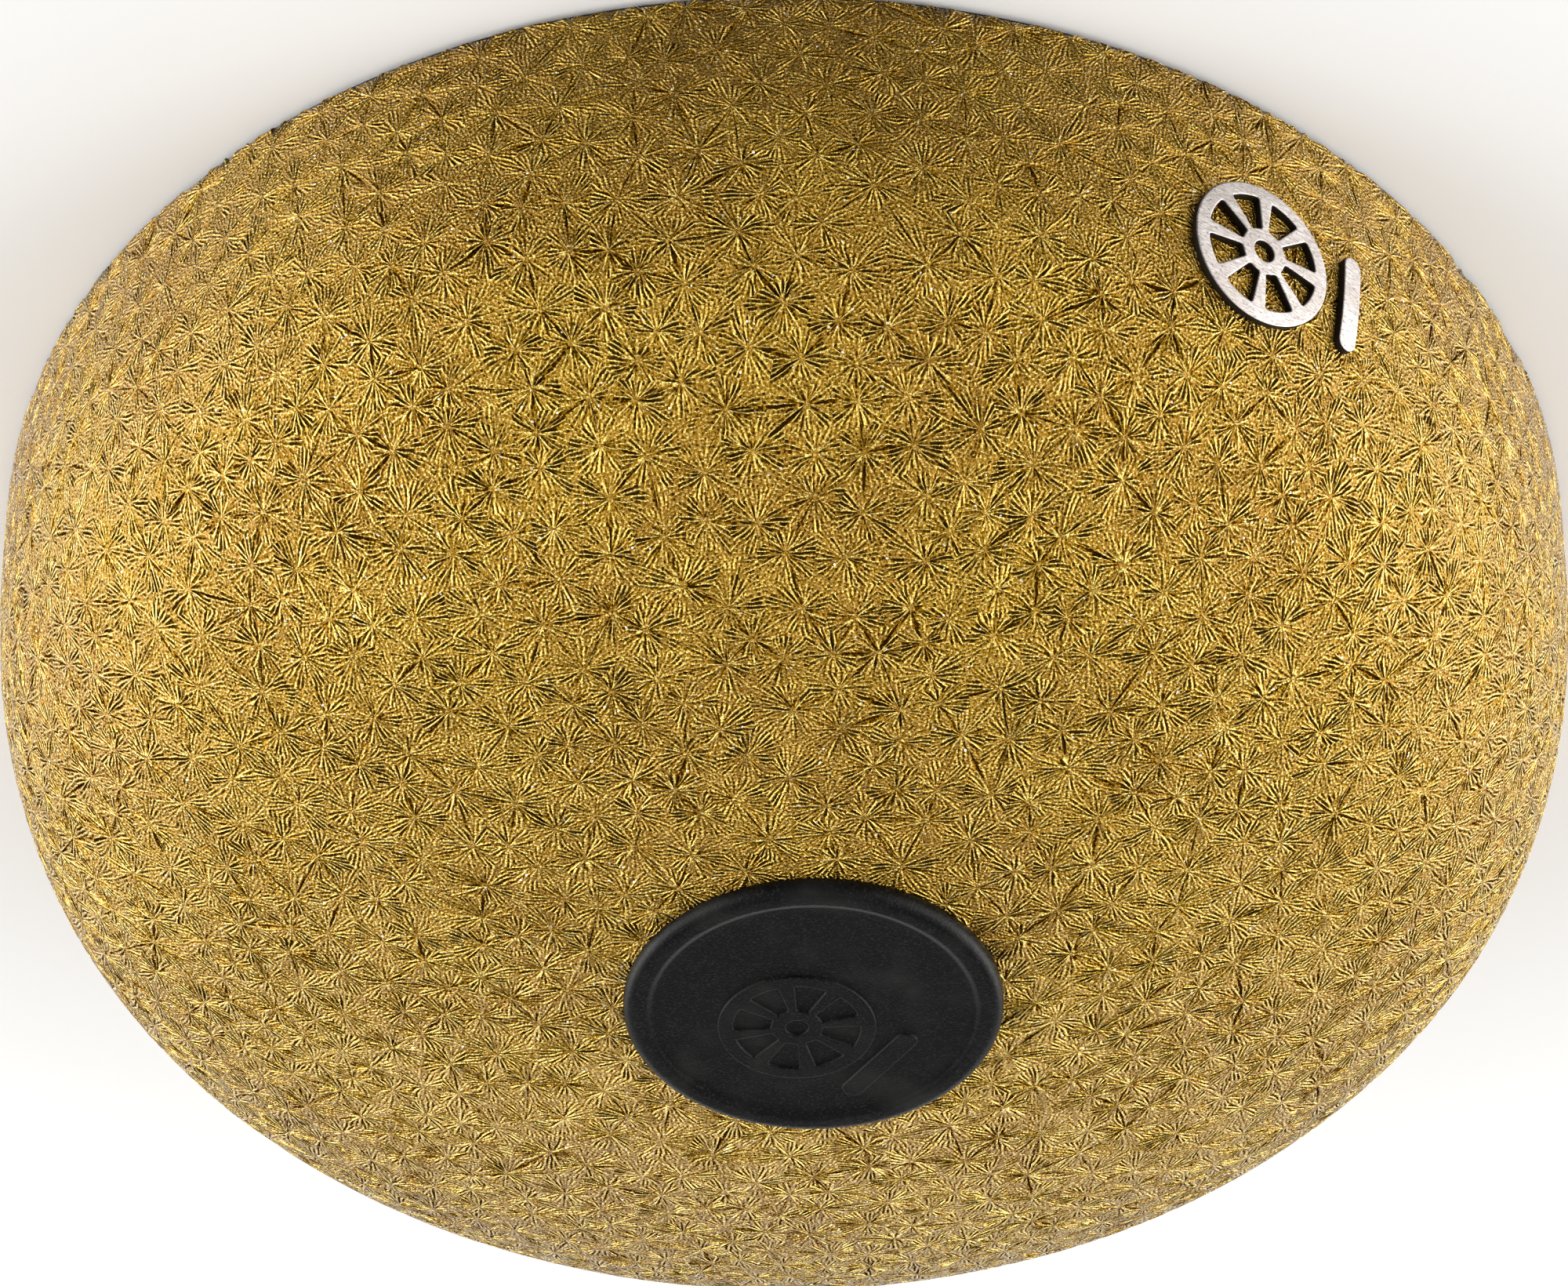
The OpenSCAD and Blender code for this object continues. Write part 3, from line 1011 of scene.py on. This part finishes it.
WRINKLE_PITCH = 1.15  # in millimetres, like the covering's star attribute
WRINKLE_LENGTH = 4.6
GRAIN_PITCH = 1.15
MARK_STEP = 31.0  # moves each star to its own part of the pattern
WRINKLE_DEPTH = 8.0  # heights are in bump distances
CREASE_DEPTH = 1.5
RELIEF_SHARE = 0.16
WRINKLE_SWAY = 1.1  # radians, of which at most half either way
GLINT_R = 0.20  # of a cell
GLINT_SHARE = 0.045  # of the cells

GOLD_DEEP = (0.325, 0.160, 0.004, 1)
GOLD_WARM = (0.400, 0.218, 0.008, 1)
# Painted highlight for the ridge tops.
RIDGE_HIGHLIGHT = (0.93, 0.71, 0.17, 1)
# Painted shade for the valleys and creases, and for their glancing reflections.
VALLEY_SHADE = (0.052, 0.020, 0.001, 1)
VALLEY_REFLECTION_SHADE = (0.13, 0.07, 0.02, 1)
# Painted glints.
PAINTED_GLINT = (1.0, 0.96, 0.84, 1)
WHITE = (1.0, 1.0, 1.0, 1)


def wrinkle_pattern(n):
    """Heights above and below the covering's face, and the pebbled grain among them.

    Ridges are above zero and valleys below it.
    """
    star = n.split(n.attribute("star", "Vector"))
    relief = n.attribute("relief")
    flat = n.join(star["X"], star["Y"])
    radius = n.vector("LENGTH", flat)
    shift = n.times(star["Z"], MARK_STEP)
    in_star = n.vector("ADD", flat, n.join(shift, shift))

    # Wrinkles run out from the star's knot, so they repeat across the bearing from it.
    bearing = n.math("ARCTAN2", star["Y"], star["X"])
    sway = n.times(n.math("SUBTRACT", n.noise(230), 0.5), WRINKLE_SWAY)
    across = n.plus(n.plus(bearing, math.pi / 2), sway)
    strokes = n.gabor(in_star, 1 / WRINKLE_LENGTH, WRINKLE_LENGTH / WRINKLE_PITCH, 0.93, across)

    # They fade in patches, far from the knot and near the rim.
    calm = n.ramp(n.split(n.place)["Z"], 10 * MM, 100 * MM, 0.72, 1.0)
    patches = n.ramp(n.noise(95), 0.36, 0.60, 0.62, 1.0)
    vigour = n.times(patches, n.ramp(radius, 5.0, 10.0, 1.0, 0.72))
    vigour = n.times(vigour, calm)
    depth = n.times(vigour, n.ramp(radius, 0.3, 1.4, 0.0, WRINKLE_DEPTH))
    folds = n.times(relief, RELIEF_SHARE)
    folds = n.plus(folds, n.ramp(relief, -1.7, -0.9, -CREASE_DEPTH, 0.0))
    tone = n.plus(n.times(strokes, depth), folds)

    pebble = n.gabor(in_star, 1 / GRAIN_PITCH, 1.0, 0.0)
    grain = n.math("SUBTRACT", n.noise(1500, detail=3, roughness=0.65), 0.5)
    grain_depth = n.ramp(vigour, 0.2, 1.0, 4.0, 2.6)
    leather = n.times(n.plus(pebble, grain), grain_depth)
    return n.times(n.plus(tone, leather), calm), pebble


def painted_glints(n):
    """1 in a few tiny round spots and 0 elsewhere: the places of painted glints."""
    cells = n.texture("ShaderNodeTexVoronoi", n.place, {"Scale": 620}, feature="F1")
    colour = n.add("ShaderNodeSeparateColor")
    n.link(cells["Color"], colour.inputs[0])
    small = n.math("LESS_THAN", cells["Distance"], GLINT_R)
    rare = n.math("GREATER_THAN", colour.outputs[0], 1 - GLINT_SHARE)
    return n.times(small, rare)


def gold_material():
    """Metallic gold with wrinkles and grain under a thin clear layer, with painted shade in its
    valleys, painted highlights on its ridges and painted glints.
    """
    n = Nodes("gold_crackle")
    tone, pebble = wrinkle_pattern(n)
    n.bump(tone, 0.20 * MM)

    # Painted shade: the deepest valleys and long creases are painted near black brown, and are
    # also rougher.
    valley = n.ramp(tone, -1.3, -0.15, 1.0, 0.0)
    tint = n.ramp(n.noise(26, detail=3), 0.3, 0.7)
    gold = n.mix(tint, GOLD_DEEP, GOLD_WARM)
    # Painted highlight: the ridge tops are painted pale gold.
    gold = n.mix(n.ramp(tone, 0.1, 1.2), gold, RIDGE_HIGHLIGHT)
    gold = n.mix(valley, gold, VALLEY_SHADE)
    # Painted glints: tiny spots painted near white.
    gold = n.mix(painted_glints(n), gold, PAINTED_GLINT)
    rough = n.plus(n.ramp(pebble, -0.2, 0.2, 0.17, 0.27), n.times(valley, 0.25))
    # Painted shade in reflections: the valleys' glancing reflections are tinted dark brown.
    shaded_reflection_tint = n.mix(valley, WHITE, VALLEY_REFLECTION_SHADE)
    n.set(Base_Color=gold, Roughness=rough, Metallic=1.0, Specular_Tint=shaded_reflection_tint)
    n.set(Coat_Weight=n.ramp(tone, -0.6, 0.3, 0.0, 0.85), Coat_Roughness=0.24)
    return n.material


def rubber_material(name, dark, pale, grain_scale):
    """Matt moulded rubber: fine grain, faint dust and scuffs."""
    n = Nodes(name)
    grain = n.noise(grain_scale, detail=3, roughness=0.6)
    dust = n.ramp(n.noise(60, detail=4), 0.45, 0.8)
    colour = n.mix(n.math("MAXIMUM", dust, n.ramp(grain, 0.52, 0.66)), dark, pale)
    n.set(Base_Color=colour, Roughness=n.ramp(grain, 0.2, 0.8, 0.30, 0.48))
    n.set(Specular_IOR_Level=0.14)
    n.bump(grain, 0.12 * MM)
    return n.material


def badge_material():
    """Pale cast metal, brushed one way, with darker pores and worn spots, and painted shade on
    its walls.
    """
    n = Nodes("badge_metal")
    strokes = n.stretched((1.0, 1.0, 9.0), (0.0, math.radians(35), 0.0))
    brush = n.noise(520, detail=5, roughness=0.75, at=strokes)
    pores = n.times(n.ramp(n.noise(1500), 0.58, 0.72), 0.7)
    clouds = n.ramp(n.noise(110, detail=3), 0.3, 0.75)
    metal = n.mix(clouds, (0.62, 0.565, 0.535, 1), (0.82, 0.775, 0.75, 1))
    metal = n.mix(n.ramp(brush, 0.40, 0.60, 0.85, 0.0), metal, (0.30, 0.255, 0.23, 1))
    metal = n.mix(pores, metal, (0.22, 0.19, 0.16, 1))
    # Painted shade: the walls go near black and a little rougher, with dirt along the brush lines
    # mixed in.
    shade_and_grime = n.plus(n.attribute("shade_and_grime"), n.times(brush, 0.5))
    shade_and_grime = n.ramp(shade_and_grime, 0.45, 0.95)
    metal = n.mix(shade_and_grime, metal, (0.035, 0.027, 0.020, 1))
    rough = n.plus(n.ramp(brush, 0.3, 0.7, 0.32, 0.5), n.times(shade_and_grime, 0.2))
    n.set(Base_Color=metal, Roughness=rough, Metallic=0.85)
    n.bump(n.math("SUBTRACT", brush, pores), 0.05 * MM)
    return n.material


def steel_material():
    """Zinc plate: bright, with soft clouds and tiny scratches."""
    n = Nodes("zinc_plate")
    cloud = n.noise(260, detail=4)
    scratch = n.noise(1800, detail=4, roughness=0.7, distortion=1.5)
    colour = n.mix(cloud, (0.52, 0.54, 0.56, 1), (0.74, 0.74, 0.70, 1))
    n.set(Base_Color=colour, Roughness=n.ramp(cloud, 0.3, 0.7, 0.24, 0.4), Metallic=1.0)
    n.bump(scratch, 0.02 * MM)
    return n.material


def fibreglass_material():
    """Dark gel coat with the weave of the glass mat showing through it."""
    n = Nodes("dark_gel_coat")
    inputs = {"Scale": 62, "Distortion": 1.2, "Detail": 2, "Detail Scale": 1.5}
    weave = [
        n.texture("ShaderNodeTexWave", n.place, inputs, bands_direction=axis)["Fac"]
        for axis in ("X", "Y")
    ]
    cloth = n.times(*weave)
    patches = n.ramp(n.noise(22, detail=4), 0.35, 0.7)
    thread = n.times(cloth, patches)
    colour = n.mix(thread, (0.030, 0.027, 0.022, 1), (0.10, 0.09, 0.075, 1))
    n.set(Base_Color=colour, Roughness=n.ramp(patches, 0, 1, 0.32, 0.52))
    n.bump(cloth, 0.12 * MM)
    return n.material


def plywood_material():
    """Thin plies stacked upwards, with grain along the hoop."""
    n = Nodes("sealed_plywood")
    sag = n.times(n.noise(30), 0.4 * MM)
    height = n.plus(n.split(n.place)["Z"], sag)
    ply = n.math("SINE", n.times(height, 2 * math.pi / (2.4 * MM)))
    grain = n.noise(300, detail=5, roughness=0.65, at=n.stretched((1.0, 1.0, 8.0)))
    wood = n.mix(n.ramp(ply, -0.4, 0.4), (0.34, 0.20, 0.095, 1), (0.56, 0.39, 0.21, 1))
    wood = n.mix(n.ramp(grain, 0.45, 0.75, 0.0, 0.5), wood, (0.18, 0.10, 0.045, 1))
    n.set(Base_Color=wood, Roughness=n.ramp(grain, 0.3, 0.7, 0.42, 0.6))
    n.bump(grain, 0.06 * MM)
    return n.material


# ---- Stage, lights and camera ------------

CAMERA_AZIMUTH = math.radians(35)
CAMERA_ELEVATION = math.radians(42.34)
CAMERA_DISTANCE = 10.13 * RIM_R
CAMERA_AIM = Vector((0, 0, EDGE_Z + 0.138 * RIM_R))
CAMERA_LENS = 181.8
LIGHT_COLOUR = (1.0, 0.995, 0.985)
SKY_BASE = 0.18


def direction(azimuth, elevation):
    """Unit vector out from the dome. Azimuth 0 is the badge's side, -Y."""
    flat = math.cos(elevation)
    return Vector((math.sin(azimuth) * flat, -math.cos(azimuth) * flat, math.sin(elevation)))


def add_camera():
    """Looks down at the dome and is turned upside down, which shows the rim at the top."""
    data = bpy.data.cameras.new("camera")
    data.lens = CAMERA_LENS
    data.sensor_width = 36
    data.clip_end = 60
    camera = bpy.data.objects.new("camera", data)
    back = direction(CAMERA_AZIMUTH, CAMERA_ELEVATION)
    upright = (-back).to_track_quat("-Z", "Y").to_matrix().to_4x4()
    place = Matrix.Translation(CAMERA_AIM + CAMERA_DISTANCE * back)
    camera.matrix_world = place @ upright @ Matrix.Rotation(math.pi, 4, "Z")
    bpy.context.scene.collection.objects.link(camera)
    bpy.context.scene.camera = camera


def add_softbox(name, azimuth, elevation, distance, size, radiance):
    """A soft rectangular lamp. Its azimuth is counted from the camera's side, in degrees."""
    data = bpy.data.lights.new(name, "AREA")
    data.shape = "RECTANGLE"
    data.size, data.size_y = size
    data.energy = radiance * math.pi * size[0] * size[1]
    data.color = LIGHT_COLOUR
    lamp = bpy.data.objects.new(name, data)
    out = direction(CAMERA_AZIMUTH + math.radians(azimuth), math.radians(elevation))
    aim = out.to_track_quat("Z", "Y").to_matrix().to_4x4()
    lamp.matrix_world = Matrix.Translation(Vector((0, 0, 0.06)) + distance * out) @ aim
    lamp.visible_camera = False
    bpy.context.scene.collection.objects.link(lamp)


def add_floor():
    """A large pale floor, which the gold doesn't mirror."""
    half = 40.0
    corners = [(-half, -half, 0), (half, -half, 0), (half, half, 0), (-half, half, 0)]
    floor = link_mesh("floor", new_mesh("floor", corners, [(0, 1, 2, 3)]))
    n = Nodes("floor")
    n.set(Base_Color=(0.93, 0.93, 0.93, 1), Roughness=0.9)
    floor.data.materials.append(n.material)
    floor.visible_glossy = False


def add_sky():
    """Soft studio light: bright on the camera's left and right, dimmer elsewhere."""
    world = bpy.data.worlds.new("studio")
    world.use_nodes = True
    sky = Graph(world.node_tree)
    place = sky.add("ShaderNodeTexCoord").outputs["Generated"]

    def nearness(azimuth, elevation):
        """Cosine of the angle from a direction, counted from the camera's side."""
        return sky.vector("DOT_PRODUCT", place, direction(CAMERA_AZIMUTH + azimuth, elevation))

    to_sides = sky.math("ABSOLUTE", nearness(math.pi / 2, 0.0))
    walls = sky.ramp(to_sides, 0.50, 0.98, 0.0, 3.1)
    behind = sky.ramp(nearness(math.pi, -0.35), 0.35, 1.0, 0.0, 0.6)
    overhead = sky.ramp(nearness(0.0, math.pi / 2), 0.68, 1.0, 0.0, 0.6)
    low_light = sky.plus(walls, behind)
    total = sky.plus(low_light, sky.plus(overhead, SKY_BASE))
    background = sky.tree.nodes["Background"]
    sky.link(total, background.inputs["Strength"])
    background.inputs["Color"].default_value = (*LIGHT_COLOUR, 1)
    bpy.context.scene.world = world


# ---- Build ------------

add_camera()
add_floor()
add_sky()
for side in (-1, 1):
    add_softbox("side", side * 105, 12, 1.8, (1.0, 0.8), 4.0)
    add_softbox("front_side", side * 62, 36, 1.8, (0.6, 0.6), 4.2)
add_softbox("behind", 180, 8, 1.9, (1.6, 0.4), 2.0)
bpy.context.scene.view_settings.view_transform = "Standard"

STRIP_BLACK, STRIP_GREY = (0.016, 0.016, 0.016, 1), (0.045, 0.044, 0.042, 1)
PAD_BLACK, PAD_GREY = (0.0012, 0.0012, 0.0013, 1), (0.014, 0.014, 0.0135, 1)

steel = steel_material()
badge_metal = badge_material()
seat_rubber = rubber_material("soft_black_strip", STRIP_BLACK, STRIP_GREY, 900)
gold_covering(gold_material())
crown_pad(rubber_material("moulded_black_rubber", PAD_BLACK, PAD_GREY, 1500))
badge("badge_wheel_cast", "badge_wheel", wheel_loops(), WHEEL_PINS, 0.0, badge_metal)
badge("badge_bar_cast", "badge_bar", bar_loops(), BAR_PINS, BAR_ANGLE, badge_metal)
shell(fibreglass_material())
rim_hoop(plywood_material())
rim_seat(seat_rubber)
cushion = (LOAD_HIGH, BOSS_Z, 0.4 * MM)
washer("cushion_washer_rubber", "cushion_washer", "seat_rubber", seat_rubber, *cushion)
washer("load_washer_steel", "load_washer", "plated_steel", steel, LOAD_LOW, LOAD_HIGH, 0.2 * MM)
lock_nut(steel)
pad_insert(steel)
clips("wheel_clips_steel", "wheel_clips", WHEEL_PINS, 0.0, steel)
clips("bar_clips_steel", "bar_clips", BAR_PINS, BAR_ANGLE, steel)
